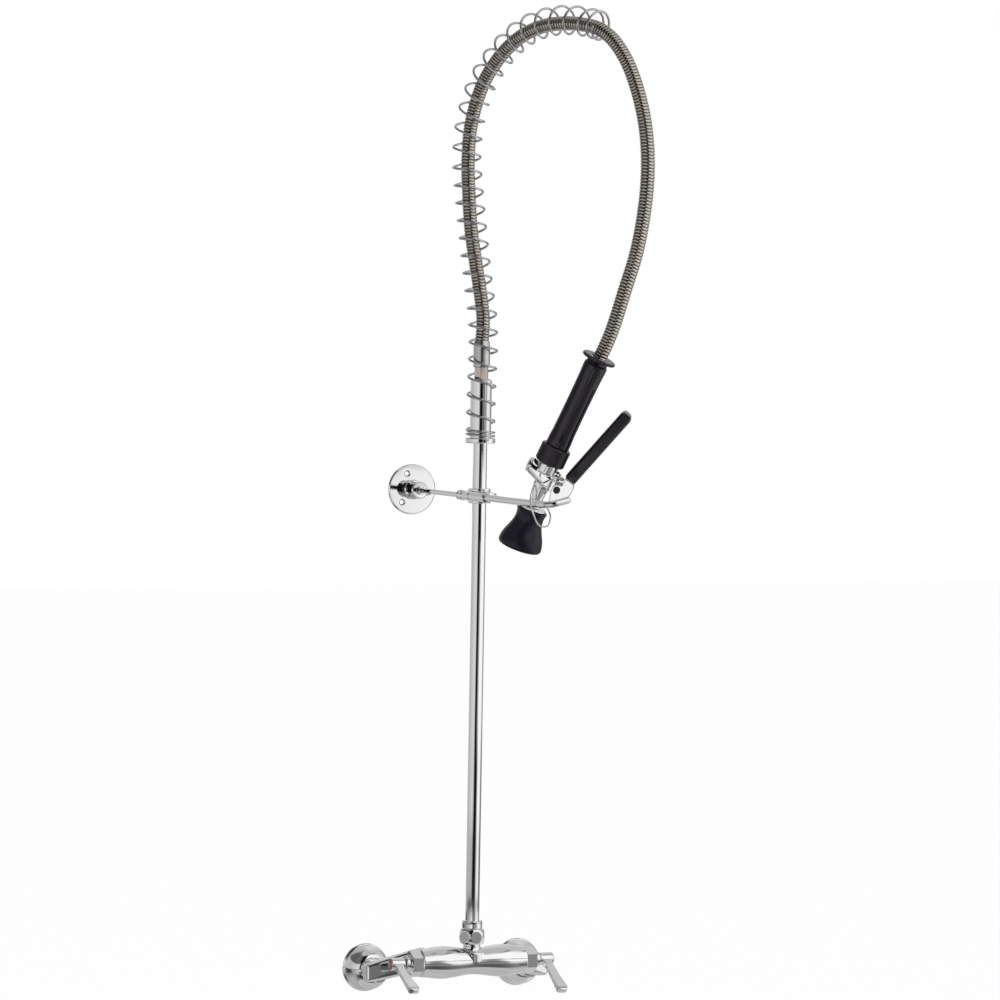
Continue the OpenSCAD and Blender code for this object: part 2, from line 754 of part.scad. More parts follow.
module clamp_cap() {
    color(CHROME)
    difference() {
        at_riser(bracket_z) {
            translate([0, 0, -clamp_h / 2]) intersection() {
                cylinder(h = clamp_h, d = riser_d + 2 * clamp_wall);
                translate([side_gap, -20, 0]) cube([40, 40, clamp_h]);
            }
            translate([side_gap, -clamp_y - 6, -barrel_d * 0.45])
                cube([clamp_ear, 2 * clamp_y + 12, barrel_d * 0.9]);
        }
        at_riser(bracket_z - clamp_h) cylinder(h = 2 * clamp_h, d = riser_d + 2 * seat_gap);
        for (y = [-clamp_y, clamp_y]) at_riser(bracket_z) translate([-1, y, 0]) rotate([0, 90, 0])
            cylinder(h = 2 * clamp_ear, d = 5.4);
    }
}

module clamp_screws() {
    color(STEEL)
    for (y = [-clamp_y, clamp_y]) at_riser(bracket_z) translate([-6, y, 0]) rotate([0, 90, 0])
        difference() {
        union() {
            cylinder(h = 6 + clamp_ear + side_gap, d = 4.8);
            translate([0, 0, 6 + clamp_ear + side_gap]) turned(5, 8.6, 0.6);
        }
        translate([0, 0, 9 + clamp_ear]) cylinder(h = 4, r = 2.2, $fn = 6);
    }
}

module set_screws() {
    color(STEEL) {
        on_rod(-barrel_in + 6) rotate([-90, 0, 0]) translate([0, 0, rod_d / 2 + side_gap]) grub_screw();
        on_rod(barrel_out - 7) rotate([-90, 0, 0]) translate([0, 0, hook_d / 2 + side_gap]) grub_screw();
    }
}

module grub_screw() {
    difference() {
        cylinder(h = 2.6, d = 4.8);
        translate([0, 0, 1.2]) cylinder(h = 2, r = 1.4, $fn = 6);
    }
}

module hook() {
    straight = hook_reach - hook_bend;
    root = barrel_out - 30 + side_gap;
    color(CHROME)
    translate([rod_x, -reach, bracket_z]) rotate([0, -crook_rise, 0]) difference() {
        union() {
            translate([0, -root, 0]) rotate([90, 0, 0]) cylinder(h = straight - root, d = hook_d);
            translate([hook_bend, -straight, 0]) rotate([0, 0, 180]) rotate_extrude(angle = 90)
                translate([hook_bend, 0]) circle(d = hook_d);
            translate([hook_bend, -hook_reach, 0]) rotate([0, 90, 0])
                cylinder(h = crook_len - hook_bend - hook_d / 2, d = hook_d);
            translate([crook_len - hook_d / 2, -hook_reach, 0]) sphere(d = hook_d);
        }
        translate([0, -root + 1, 0]) rotate([90, 0, 0])
            cylinder(h = bracket_travel + 4, d = rod_d + 2 * run_gap);
    }
}

module bracket_rod() {
    length = reach + disc_back - disc_t - side_gap - barrel_in + rod_engaged;
    color(CHROME)
    translate([rod_x, disc_back - disc_t - side_gap, bracket_z]) rotate([90, 0, 0])
        turned(length, rod_d, 0.5);
}

module wall_disc() {
    color(CHROME)
    translate([rod_x, disc_back, bracket_z]) rotate([90, 0, 0]) difference() {
        rotate_extrude() polygon([
            [0, 0], [disc_d / 2 - 0.6, 0], [disc_d / 2, 0.6], [disc_d / 2, disc_t - 1.6],
                [disc_d / 2 - 1.6, disc_t],
            [0, disc_t]
        ]);
        for (a = [110, 230, 350]) rotate([0, 0, a]) translate([disc_pcd / 2, 0, -eps]) {
            cylinder(h = disc_t + 1, d = disc_hole);
            translate([0, 0, disc_t - 1.6]) cylinder(h = 1.7, d1 = disc_hole, d2 = disc_hole + 3.4);
        }
    }
}

module rod_socket() {
    color(CHROME)
    translate([rod_x, disc_back - disc_t, bracket_z]) rotate([90, 0, 0]) difference() {
        rotate_extrude() polygon([
            [0, 0], [12.5, 0], [12.5, 5], [11.4, 6.2], [11, 12], [11, boss_len - 2], [9.5, boss_len],
            [rod_d / 2 + 2, boss_len], [rod_d / 2 + 2, boss_len + 6], [0, boss_len + 6]
        ]);
        translate([0, 0, -1]) cylinder(h = boss_len + 8, d = rod_d + 2 * seat_gap);
    }
}

// ---- Sleeve, hose fittings and overhead spring ----

module spring_sleeve() {
    color(CHROME)
    at_riser(seat_z) difference() {
        rotate_extrude() polygon([
            [0, 0], [seat_d / 2 - 1, 0], [seat_d / 2, 1], [seat_d / 2, seat_t - 1],
                [seat_d / 2 - 1, seat_t],
            [sleeve_d / 2, seat_t], [sleeve_d / 2, seat_t + sleeve_len - 2],
                [sleeve_d / 2 - 2, seat_t + sleeve_len],
            [0, seat_t + sleeve_len]
        ]);
        translate([0, 0, -eps]) cylinder(h = riser_top - seat_z + side_gap, d = riser_d + 2 * seat_gap);
        cylinder(h = seat_t + sleeve_len - 12, d = riser_bore);
        translate([0, 0, seat_t + sleeve_len - 14]) cylinder(h = 15, d = barb_d + 2 * seat_gap);
    }
}

module lower_hose_nut() {
    color([0.80, 0.62, 0.32])
    at_riser(sleeve_top) difference() {
        hex_bar(nut_h, 15.8, 0.8);
        translate([0, 0, -1]) cylinder(h = nut_h + 2, d = barb_d + 2 * seat_gap);
    }
}

module lower_ferrule() {
    color(STEEL)
    at_riser(ferrule_z) difference() {
        rotate_extrude() polygon([
            [0, 0], [ferrule_d / 2 - 0.8, 0], [ferrule_d / 2, 0.8], [ferrule_d / 2, ferrule_h - 7],
            [ferrule_d / 2 - 1.1, ferrule_h], [0, ferrule_h]
        ]);
        translate([0, 0, 6]) cylinder(h = ferrule_h, d = hose_d + 2 * seat_gap);
        translate([0, 0, -1]) cylinder(h = 8, d = barb_d + 2 * seat_gap);
    }
}

module hose_barb() {
    foot = sleeve_top - 14;
    top = ferrule_z + ferrule_h - 6;
    color([0.80, 0.62, 0.32]) at_riser(foot) tube(top - foot, barb_d, barb_bore);
}

hose_runs = runs(HOSE);
hose_len = total(hose_runs);
rib_pitch = hose_len / rib_count;
bore_stations = [for (i = [0 : 50]) hose_len * i / 50];

// Ribbed steel cover: each rib has a crest ring and a root ring
module hose_cover() {
    crest = hose_d / 2;
    outer = concat(
        [[0, crest]],
        [for (i = [0 : rib_count - 1]) for (k = [0, 1])
            [(i + 0.3 + 0.45 * k) * rib_pitch, k == 0 ? crest : crest - rib_depth]],
        [[hose_len, crest]]
    );
    color(STEEL) at_riser() hose(HOSE, hose_runs, outer, bore_stations, cover_bore / 2, 8);
}

module hose_liner() {
    outer = [for (s = bore_stations) [s, liner_d / 2]];
    color(DARK) at_riser() hose(HOSE, hose_runs, outer, bore_stations, liner_bore / 2, 6);
}

spring_runs = runs(SPRING);
spring_len = total(spring_runs);
coil_steps = 8;

// Run length along the centreline after a number of turns: close at both ends, widest over the crest
COIL_RUNS = [
    [0, 0], [close_turns, close_turns * end_pitch], [mid_turns * spring_turns, mid_run * spring_len],
    [spring_turns - close_turns, spring_len - last_close], [spring_turns, spring_len]
];
function coil_run(u) = lookup(u, COIL_RUNS);
function coil_out(u) =
    let (t = heading(SPRING, spring_runs, coil_run(u)), b = side_axis(t), n = cross(t, b))
    cos(-360 * u) * b + sin(-360 * u) * n;
coil_places = [for (i = [0 : coil_steps * spring_turns]) i / coil_steps];
coil_centres = [
    for (u = coil_places)
        along(SPRING, spring_runs, coil_run(u)) + (spring_d - spring_wire) / 2 * coil_out(u)
];
echo(overhead_spring_least_gap = turn_gap(coil_centres, coil_steps, spring_wire));
echo(hose_length = hose_len, spring_centreline = spring_len);

module overhead_spring() {
    color(CHROME)
    at_riser() rod(wire_rings(coil_centres, [for (u = coil_places) coil_out(u)], spring_wire / 2, 6), 6);
}

// ---- Squeeze valve: hose end, guard and grip ----

module upper_ferrule() {
    color(STEEL)
    in_hand() translate([0, 0, ferrule_bottom]) difference() {
        union() {
            cylinder(h = grip_top - ferrule_bottom - 2, d = ferrule_d);
            translate([0, 0, -18]) cylinder(h = 19, d = barb_d);
        }
        translate([0, 0, 6]) cylinder(h = ferrule_h, d = hose_d + 1.4);
        translate([0, 0, -20]) cylinder(h = ferrule_h, d = barb_bore);
    }
}

module upper_hose_nut() {
    color([0.80, 0.62, 0.32])
    in_hand() translate([0, 0, tube_top])
        tube(ferrule_bottom - tube_top - side_gap, 20, barb_d + 2 * seat_gap);
}

module hose_guard() {
    color(DARK)
    in_hand() translate([0, 0, grip_top]) difference() {
        rotate_extrude() polygon([
            [0, 0], [grip_d / 2 - 1.5, 0], [grip_d / 2 - 2.5, guard_hub], [guard_d / 2 - 1, guard_hub],
            [guard_d / 2, guard_hub + 1], [guard_d / 2, guard_hub + guard_t - 1.2],
            [guard_d / 2 - 1.2, guard_hub + guard_t], [0, guard_hub + guard_t]
        ]);
        translate([0, 0, -1]) cylinder(h = 20, d = hose_d + 1.4);
    }
}

module grip() {
    r = grip_d / 2;
    color(DARK)
    in_hand() translate([0, 0, grip_z]) difference() {
        rotate_extrude() polygon([
            [0, 0], [r - 0.8, 0], [r, 1], [r, 8], [r - 0.7, 20], [r - 0.9, grip_len / 2],
                [r - 0.6, grip_len - 20],
            [r, grip_len - 6], [r, grip_len - 2], [r - 1.5, grip_len], [0, grip_len]
        ]);
        translate([0, 0, -1]) cylinder(h = grip_len, d = grip_tube_d + 2 * seat_gap);
        translate([0, 0, tube_top - grip_z - side_gap])
            cylinder(h = grip_len, d = ferrule_d + 2 * side_gap);
    }
}

grip_tube_d = 15;
module grip_tube() {
    foot = collar_z - 4;
    color(STEEL) in_hand() translate([0, 0, foot]) difference() {
        cylinder(h = tube_top - foot - side_gap, d = grip_tube_d);
        translate([0, 0, -1]) cylinder(h = grip_len + 40, d = 10.4);
    }
}

module grip_collar() {
    color(DARK)
    in_hand() translate([0, 0, collar_z]) difference() {
        turned(grip_collar_len - side_gap, grip_collar_d, 1.4);
        translate([0, 0, -1]) cylinder(h = grip_collar_len + 2, d = 24 + 2 * seat_gap);
        // Grip flutes round the collar
        for (a = [0 : 45 : 315]) rotate([0, 0, a + 10]) translate([grip_collar_d / 2 + 1.2, 0, -1])
            cylinder(h = grip_collar_len + 2, d = 4);
    }
}

// ---- Squeeze valve: body and works ----

module valve_body() {
    color(CHROME)
    difference() {
        union() {
            // Forging from the cap's end to the lever's ears, under the collar
            in_hand() hull() {
                translate([cap_x + 2, 0, chamber_z]) rotate([0, 90, 0])
                    cylinder(h = 2, r = chamber_r, $fn = 40);
                for (z = [lug_low + 4.5, lug_top - 4.5]) translate([lug_x, 0, z]) rotate([90, 0, 0]) {
                    cylinder(h = 2 * (lug_half - 1.5), r = 4.5, center = true, $fn = 24);
                    cylinder(h = 2 * lug_half, r = 3, center = true, $fn = 24);
                }
            }
            // Flare from the forging down to the neck
            hull() {
                in_hand() for (x = [0, 6]) translate([x, 0, 24]) cylinder(h = 4, d = 14, $fn = 32);
                in_head() translate([0, 0, -6]) cylinder(h = 2, d = neck_d - 0.2, $fn = 40);
            }
            in_hand() {
                translate([0, 0, collar_z - 12]) cylinder(h = grip_collar_len + 12 - side_gap, d = 24);
                translate([0, 0, collar_z - 12]) cylinder(h = 12 - side_gap, d = 26);
                translate([pivot[0], 0, pivot[2]]) rotate([90, 0, 0])
                    cylinder(h = 2 * boss_half, d = 11, center = true);
                translate([8, 0, chamber_z]) rotate([0, 90, 0]) cylinder(h = nose_x - 10.5, d = 13);
            }
            in_head() translate([0, 0, ring_z - 0.2]) cylinder(h = 36, d = neck_d);
        }
        in_hand() {
            // Flats beside the lever's ears, with room for the swing
            for (s = [-1, 1]) translate([12, s < 0 ? -40 : boss_half, 5]) cube([40, 40 - boss_half, 43]);
            translate([0, 0, collar_z - 4]) cylinder(h = 60, d = grip_tube_d + 2 * seat_gap);
            translate([-2, 0, chamber_z]) cylinder(h = 40, d = 9);
            translate([cap_x - 20, 0, chamber_z]) rotate([0, 90, 0])
                cylinder(h = seat_x - cap_x + 20, d = 14);
            translate([0, 0, chamber_z]) rotate([0, 90, 0]) cylinder(h = 12, d = 9);
            translate([11, 0, chamber_z]) rotate([0, 90, 0]) cylinder(h = 20, d = 9);
            // Flat faces for the domed cap and for the packing nut's hexagon
            translate([cap_x - 18, -20, chamber_z - 14]) cube([20, 40, 24]);
            translate([nose_x - 2.5, 0, chamber_z]) rotate([0, 90, 0]) cylinder(h = 20, r = nut_r + 0.2);
            translate([pivot[0], 0, pivot[2]]) rotate([90, 0, 0])
                cylinder(h = 60, d = 5 + 0.04, center = true);
            span([8, 0, chamber_z], head_at, 7);
        }
        in_head() translate([0, 0, ring_z - 1]) cylinder(h = 18, d = 9);
        // Blind cross holes where the hanging ring's wire ends turn
        for (s = [-1, 1]) at_riser() translate(ring_pivot + [s * (ring_depth - 0.5), 0, 0])
            rotate([0, s * 90, 0]) cylinder(h = 6, d = ring_wire + 2 * side_gap);
    }
}

module valve_cap() {
    color(CHROME)
    in_hand() translate([cap_x + 2 - side_gap, 0, chamber_z]) rotate([0, -90, 0]) difference() {
        union() {
            rotate_extrude() polygon(concat(
                [[0, 0], [chamber_r - 0.2, 0]],
                [for (a = [0 : 15 : 90]) [(chamber_r - 0.2) * cos(a), 1.2 + 2.6 * sin(a)]],
                [[0, 3.8]]
            ));
            translate([0, 0, -5]) cylinder(h = 6, d = 14 - 2 * seat_gap);
        }
        translate([0, 0, -6]) cylinder(h = 7, d = 10);
    }
}

module seat_ring() {
    color([0.80, 0.62, 0.32])
    in_hand() translate([seat_x - 2.4, 0, chamber_z]) rotate([0, 90, 0])
        tube(2.4 - eps, 14 - 2 * seat_gap, 8);
}

module valve_plunger() {
    color(STEEL)
    in_hand() translate([seat_x - 6.4, 0, chamber_z]) rotate([0, 90, 0]) difference() {
        union() {
            cylinder(h = stem_tip - seat_x + 6.4 - 2, d = plunger_d);
            translate([0, 0, stem_tip - seat_x + 6.4 - plunger_d / 2]) sphere(d = plunger_d);
            translate([0, 0, -1.6]) cylinder(h = 1.6, d = 11);
        }
    }
}

module seat_washer() {
    color(DARK) in_hand() translate([seat_x - 6.4, 0, chamber_z]) rotate([0, 90, 0])
        tube(3.9, 11, plunger_d + 0.04);
}

module packing_nut() {
    color([0.80, 0.62, 0.32])
    in_hand() translate([12.4, 0, chamber_z]) rotate([0, 90, 0]) difference() {
        union() {
            cylinder(h = nose_x - 12.4 - 2.4, d = 9 - 2 * seat_gap);
            translate([0, 0, nose_x - 12.4 - 2.4]) rotate([0, 0, 30])
                cylinder(h = 2.4, r = nut_r, $fn = 6);
        }
        translate([0, 0, -1]) cylinder(h = 20, d = plunger_d + 2 * run_gap);
    }
}

module return_spring() {
    turns = 6;
    steps = 8;
    wire = 1;
    reach_x = cap_x + 1.4;
    stroke = seat_x - 8.6 - reach_x;
    centres = [
        for (i = [0 : turns * steps])
            let (u = i / steps) [reach_x + stroke * u / turns, 3.8 * cos(360 * u),
                chamber_z + 3.8 * sin(360 * u)]
    ];
    away = [for (i = [0 : turns * steps]) [0, cos(360 * i / steps), sin(360 * i / steps)]];
    color(STEEL) in_hand() rod(wire_rings(centres, away, wire / 2, 6), 6);
}

// Lever seen from the side, in the hand unit's XZ plane: eye, heel and the root of the bar
module heel_shape() {
    polygon(HEEL);
}

module squeeze_lever() {
    half = squeeze_w / 2;
    color(CHROME)
    in_hand() difference() {
        union() {
            rotate([90, 0, 0]) linear_extrude(squeeze_w, center = true) heel_shape();
            translate(bar_root) rotate([0, lever_open, 0])
                translate([-bar_t / 2, -bar_w / 2, -bar_t / 2]) cube([bar_t, bar_w, bar_len]);
        }
        // Slot between the two ears, open towards the valve body
        rotate([90, 0, 0]) linear_extrude(2 * (boss_half + side_gap), center = true) polygon(SLOT);
        translate(pivot) rotate([90, 0, 0]) cylinder(h = 60, d = 5 + 2 * run_gap, center = true);
        // Hollow back of the heel
        translate([33.5, 0, 31]) rotate([90, 0, 0]) cylinder(h = 2 * (half - 3), d = 7, center = true);
    }
}

module lever_cover() {
    t = cover_t;
    w = squeeze_w;
    color(DARK)
    in_hand() translate(bar_root) rotate([0, lever_open, 0]) difference() {
        intersection() {
            linear_extrude(cover_len) polygon([
                [-t / 2 + 3, -w / 2], [t / 2 - 3, -w / 2], [t / 2, -w / 2 + 3.4], [t / 2, w / 2 - 3.4],
                [t / 2 - 3, w / 2], [-t / 2 + 3, w / 2], [-t / 2, w / 2 - 3.4], [-t / 2, -w / 2 + 3.4]
            ]);
            rotate([90, 0, 0]) linear_extrude(2 * w, center = true) polygon(concat(
                [[-t / 2, 1.6], [-t / 2 + 1, 0.4], [t / 2, 1.6]],
                [for (a = [0 : 15 : 90]) [t / 2 - 6 + 6 * cos(a), cover_len - 6 + 6 * sin(a)]],
                [for (a = [90 : 15 : 180]) [-t / 2 + 5 + 5 * cos(a), cover_len - 5 + 5 * sin(a)]]
            ));
        }
        translate([-bar_t / 2 - 0.4, -bar_w / 2 - 0.4, -1]) cube([bar_t + 0.8, bar_w + 0.8, bar_len + 1]);
    }
}

module lever_pin() {
    color(DARK)
    in_hand() translate(pivot) rotate([90, 0, 0]) {
        cylinder(h = squeeze_w + 1, d = 5, center = true);
        translate([0, 0, squeeze_w / 2 + side_gap]) turned(2.4, 8.4, 0.7);
        translate([0, 0, -squeeze_w / 2 - side_gap - 1.8]) turned(1.8, 7.6, 0.5);
    }
}

// ---- Spray head ----

module neck_ring() {
    color(CHROME)
    in_head() translate([0, 0, ring_z - ring_t]) difference() {
        turned(ring_t - 0.4, ring_d, 0.8);
        translate([0, 0, -1]) cylinder(h = 8, d = nozzle_d - 8 + 2 * seat_gap);
    }
}

module spray_nozzle() {
    color(CHROME)
    in_head() difference() {
        union() {
            translate([0, 0, ring_z - ring_t - 1]) cylinder(h = ring_t + 1 - 0.5, d = nozzle_d - 8);
            translate([0, 0, face_z])
                cylinder(h = ring_z - ring_t - side_gap - face_z - 0.5, d = nozzle_d);
        }
        translate([0, 0, face_z + 3]) cylinder(h = 16, d = nozzle_d - 5);
        translate([0, 0, face_z + 3]) cylinder(h = 60, d = 9);
        translate([0, 0, face_z - 1]) cylinder(h = 5, d = nozzle_d - 3);
    }
}

module spray_face() {
    color(STEEL)
    in_head() translate([0, 0, face_z]) difference() {
        cylinder(h = 2.4, d = nozzle_d - 3 - 2 * seat_gap);
        for (k = [0 : spray_holes - 1]) rotate([0, 0, 360 * k / spray_holes]) translate([7.6, 0, -1])
            cylinder(h = 5, d = 1.5, $fn = 16);
        for (k = [0 : 5]) rotate([0, 0, 60 * k]) translate([3.6, 0, -1])
            cylinder(h = 5, d = 1.5, $fn = 16);
    }
}

module spray_bumper() {
    rim_r = mouth_d / 2;
    inner = nozzle_d / 2 + seat_gap;
    // Outline from the top edge down to the mouth, then back up inside the bell
    color(DARK)
    in_head() translate([0, 0, bumper_z]) rotate_extrude() polygon(concat(
        [[inner, 0], [rim_r - 8.6, 0], [rim_r - 8, -0.8], [rim_r - 8.2, -2]],
        [for (q = BELL) [rim_r - q[0], -q[1] * bumper_len]],
        [[rim_r - 0.4, 2 - bumper_len], [rim_r - 1.4, 0.6 - bumper_len], [rim_r - 2.6, -bumper_len],
         [rim_r - 4, 0.6 - bumper_len], [rim_r - 5, 6 - bumper_len], [rim_r - 9, 14 - bumper_len],
             [inner, 20 - bumper_len]]
    ));
}

// ---- Hanging ring ----

ring_runs = runs(RING);
ring_steps = 56;

module hanging_ring() {
    centres = [for (i = [0 : ring_steps]) along(RING, ring_runs, total(ring_runs) * i / ring_steps)];
    away = [for (i = [0 : ring_steps]) RING_NORMAL];
    color(CHROME) at_riser() rod(wire_rings(centres, away, ring_wire / 2, 6), 6);
}

inlet_flanges();
supply_arms();
port_seals();
faucet_body();
hot_cartridge();
cold_cartridge();
hot_bonnet();
cold_bonnet();
hot_stem();
cold_stem();
hot_handle();
cold_handle();
hot_index_ring();
cold_index_ring();
hot_handle_screw();
cold_handle_screw();
coupling_nut();
riser_collar();
riser_seal();
riser_pipe();
clamp_body();
clamp_cap();
clamp_screws();
set_screws();
hook();
bracket_rod();
wall_disc();
rod_socket();
spring_sleeve();
lower_hose_nut();
lower_ferrule();
hose_barb();
hose_cover();
hose_liner();
overhead_spring();
upper_ferrule();
upper_hose_nut();
hose_guard();
grip();
grip_tube();
grip_collar();
valve_body();
valve_cap();
seat_ring();
valve_plunger();
seat_washer();
packing_nut();
return_spring();
squeeze_lever();
lever_cover();
lever_pin();
neck_ring();
spray_nozzle();
spray_face();
spray_bumper();
hanging_ring();
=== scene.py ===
"""Looks of a wall-mounted pre-rinse faucet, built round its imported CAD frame. Metres, X right, Z up."""

import json
import math

import bpy
from mathutils import Matrix, Vector


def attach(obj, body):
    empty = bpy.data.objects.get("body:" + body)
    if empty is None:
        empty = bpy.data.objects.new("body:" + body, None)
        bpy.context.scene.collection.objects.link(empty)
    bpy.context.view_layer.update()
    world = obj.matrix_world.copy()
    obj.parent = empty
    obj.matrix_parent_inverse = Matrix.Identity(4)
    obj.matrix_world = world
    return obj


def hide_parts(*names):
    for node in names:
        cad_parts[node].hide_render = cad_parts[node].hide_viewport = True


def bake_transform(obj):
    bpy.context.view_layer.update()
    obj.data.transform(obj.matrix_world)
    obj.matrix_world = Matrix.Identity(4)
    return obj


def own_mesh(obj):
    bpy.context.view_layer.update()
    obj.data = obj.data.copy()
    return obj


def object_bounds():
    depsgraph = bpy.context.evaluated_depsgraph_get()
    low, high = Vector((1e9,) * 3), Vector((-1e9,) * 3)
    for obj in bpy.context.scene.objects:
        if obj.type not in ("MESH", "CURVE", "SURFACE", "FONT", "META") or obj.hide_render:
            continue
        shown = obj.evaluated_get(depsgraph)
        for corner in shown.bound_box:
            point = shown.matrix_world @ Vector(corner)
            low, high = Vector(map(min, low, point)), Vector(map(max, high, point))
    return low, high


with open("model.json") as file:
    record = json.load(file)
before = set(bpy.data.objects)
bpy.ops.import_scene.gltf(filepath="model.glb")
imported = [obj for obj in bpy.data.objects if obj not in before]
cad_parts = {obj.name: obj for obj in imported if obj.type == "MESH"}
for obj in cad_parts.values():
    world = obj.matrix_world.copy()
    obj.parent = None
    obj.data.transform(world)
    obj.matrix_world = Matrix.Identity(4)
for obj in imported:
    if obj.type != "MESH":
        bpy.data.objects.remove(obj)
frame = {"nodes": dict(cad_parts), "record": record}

cad_lo, cad_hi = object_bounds()
NODES = frame["nodes"]

# ---- Camera: fitted to the flanges, the riser and the bracket of the photographed faucet ----

VIEW_AZIMUTH, VIEW_ELEVATION, VIEW_ROLL = -22.5, 2.37, 0.98   # degrees
VIEW_DISTANCE = 6.2
VIEW_TARGET = Vector((0.0071, -0.150, 0.5856))
VIEW_LENS = 183.73                                           # mm on a 36 mm sensor


def view_axes(azimuth, elevation):
    """Right, up and back of a camera that looks at the object from that side."""
    a, e = math.radians(azimuth), math.radians(elevation)
    back = Vector((math.sin(a) * math.cos(e), -math.cos(a) * math.cos(e), math.sin(e)))
    right = Vector((math.cos(a), math.sin(a), 0))
    return right, back.cross(right), back


def make_camera():
    right, up, back = view_axes(VIEW_AZIMUTH, VIEW_ELEVATION)
    r = math.radians(VIEW_ROLL)
    across, upward = right * math.cos(r) + up * math.sin(r), up * math.cos(r) - right * math.sin(r)
    data = bpy.data.cameras.new("Camera")
    data.lens, data.sensor_width = VIEW_LENS, 36
    data.clip_start, data.clip_end = 0.1, 100
    camera = bpy.data.objects.new("Camera", data)
    camera.matrix_world = Matrix.Translation(VIEW_TARGET + back * VIEW_DISTANCE) @ Matrix(
        (across, upward, back)).transposed().to_4x4()
    bpy.context.scene.collection.objects.link(camera)
    bpy.context.scene.camera = camera


make_camera()

# ---- Routes of the hose, spring and ring: the same points as in the CAD source, in metres ----

PLAN_TURN = math.radians(25)
HOSE = [
    (0, -0.101, 0.752), (0, -0.101, 0.776), (0.0005, -0.102, 0.805), (-0.002, -0.097, 0.838),
    (-0.0055, -0.089, 0.875), (-0.009, -0.082, 0.912), (-0.011, -0.0775, 0.956), (-0.012, -0.0755, 1.0),
    (-0.010, -0.0795, 1.044), (-0.003, -0.0945, 1.088), (0.008, -0.118, 1.121), (0.020, -0.144, 1.143),
    (0.031, -0.167, 1.1545), (0.042, -0.191, 1.1605), (0.054, -0.2165, 1.162), (0.0655, -0.2415, 1.160),
    (0.077, -0.266, 1.154), (0.0875, -0.287, 1.139), (0.097, -0.306, 1.113), (0.104, -0.321, 1.080),
    (0.109, -0.332, 1.043), (0.111, -0.338, 1.005), (0.110, -0.340, 0.966), (0.106, -0.3385, 0.925),
    (0.099, -0.336, 0.885), (0.0885, -0.331, 0.845), (0.0757, -0.317, 0.7885), (0.058, -0.299, 0.737),
]
SPRING = [
    (0, -0.101, 0.6613), (0, -0.101, 0.672), (0, -0.101, 0.700), (0.0005, -0.102, 0.740),
    (0.001, -0.103, 0.773), (0, -0.101, 0.808), (-0.003, -0.095, 0.842), (-0.006, -0.0885, 0.882),
    (-0.0088, -0.0825, 0.924), (-0.0114, -0.077, 0.966), (-0.013, -0.0735, 1.0), (-0.012, -0.075, 1.032),
    (-0.0085, -0.0825, 1.064), (-0.002, -0.097, 1.096), (0.0085, -0.119, 1.124), (0.020, -0.1435, 1.145),
    (0.031, -0.167, 1.1575), (0.0425, -0.1915, 1.164), (0.0545, -0.217, 1.166), (0.0665, -0.243, 1.1635),
    (0.074, -0.259, 1.160), (0.079, -0.270, 1.157),
]
RING = [
    (0.0046, -0.2487, 0.5852), (0.0016, -0.2492, 0.5853), (0.0002, -0.254, 0.5858), (0.0014, -0.264, 0.5878),
    (0.0024, -0.272, 0.5915), (0.0005, -0.280, 0.601), (-0.008, -0.294, 0.6095), (-0.017, -0.307, 0.604),
    (-0.0214, -0.3135, 0.593), (-0.0206, -0.317, 0.581), (-0.0135, -0.313, 0.5675), (-0.002, -0.301, 0.561),
    (0.012, -0.288, 0.5615), (0.020, -0.277, 0.571), (0.022, -0.264, 0.5795), (0.022, -0.253, 0.5846),
    (0.0204, -0.2492, 0.5852), (0.0174, -0.2487, 0.5852),
]
HOSE_D, RIB_DEPTH, RIB_PITCH = 0.0174, 0.0011, 0.00385
# Share of a rib that rises from the groove on each side, and how far its shoulders lie under its crest
GROOVE, SHOULDER = 0.22, 0.0002
COVER_BORE = 0.0132
COIL_D, COIL_WIRE, COIL_TURNS, END_PITCH = 0.0366, 0.003, 31.5, 0.0044
# Close turns at each end, the run that the last ones take, and the shares of the turns and of the run at mid-coil
CLOSE_TURNS, LAST_CLOSE, MID_TURNS, MID_RUN = 1.6, 0.0146, 0.527, 0.503
RING_WIRE, RING_NORMAL = 0.002, Vector((0.73, -0.2, 0.66))

# Hand unit's own frame: Z along the grip, X towards the lever
HAND = (Matrix.Translation((0.0066, -0.2468, 0.5876)) @ Matrix.Rotation(math.radians(-45.4), 4, "Z")
        @ Matrix.Rotation(math.radians(26.1), 4, "Y") @ Matrix.Rotation(math.radians(19.75), 4, "Z"))
# Return spring inside the squeeze valve, in that frame
RETURN_FROM, RETURN_TO, RETURN_Z, RETURN_R, RETURN_WIRE = -0.0201, -0.0056, 0.0415, 0.0038, 0.001


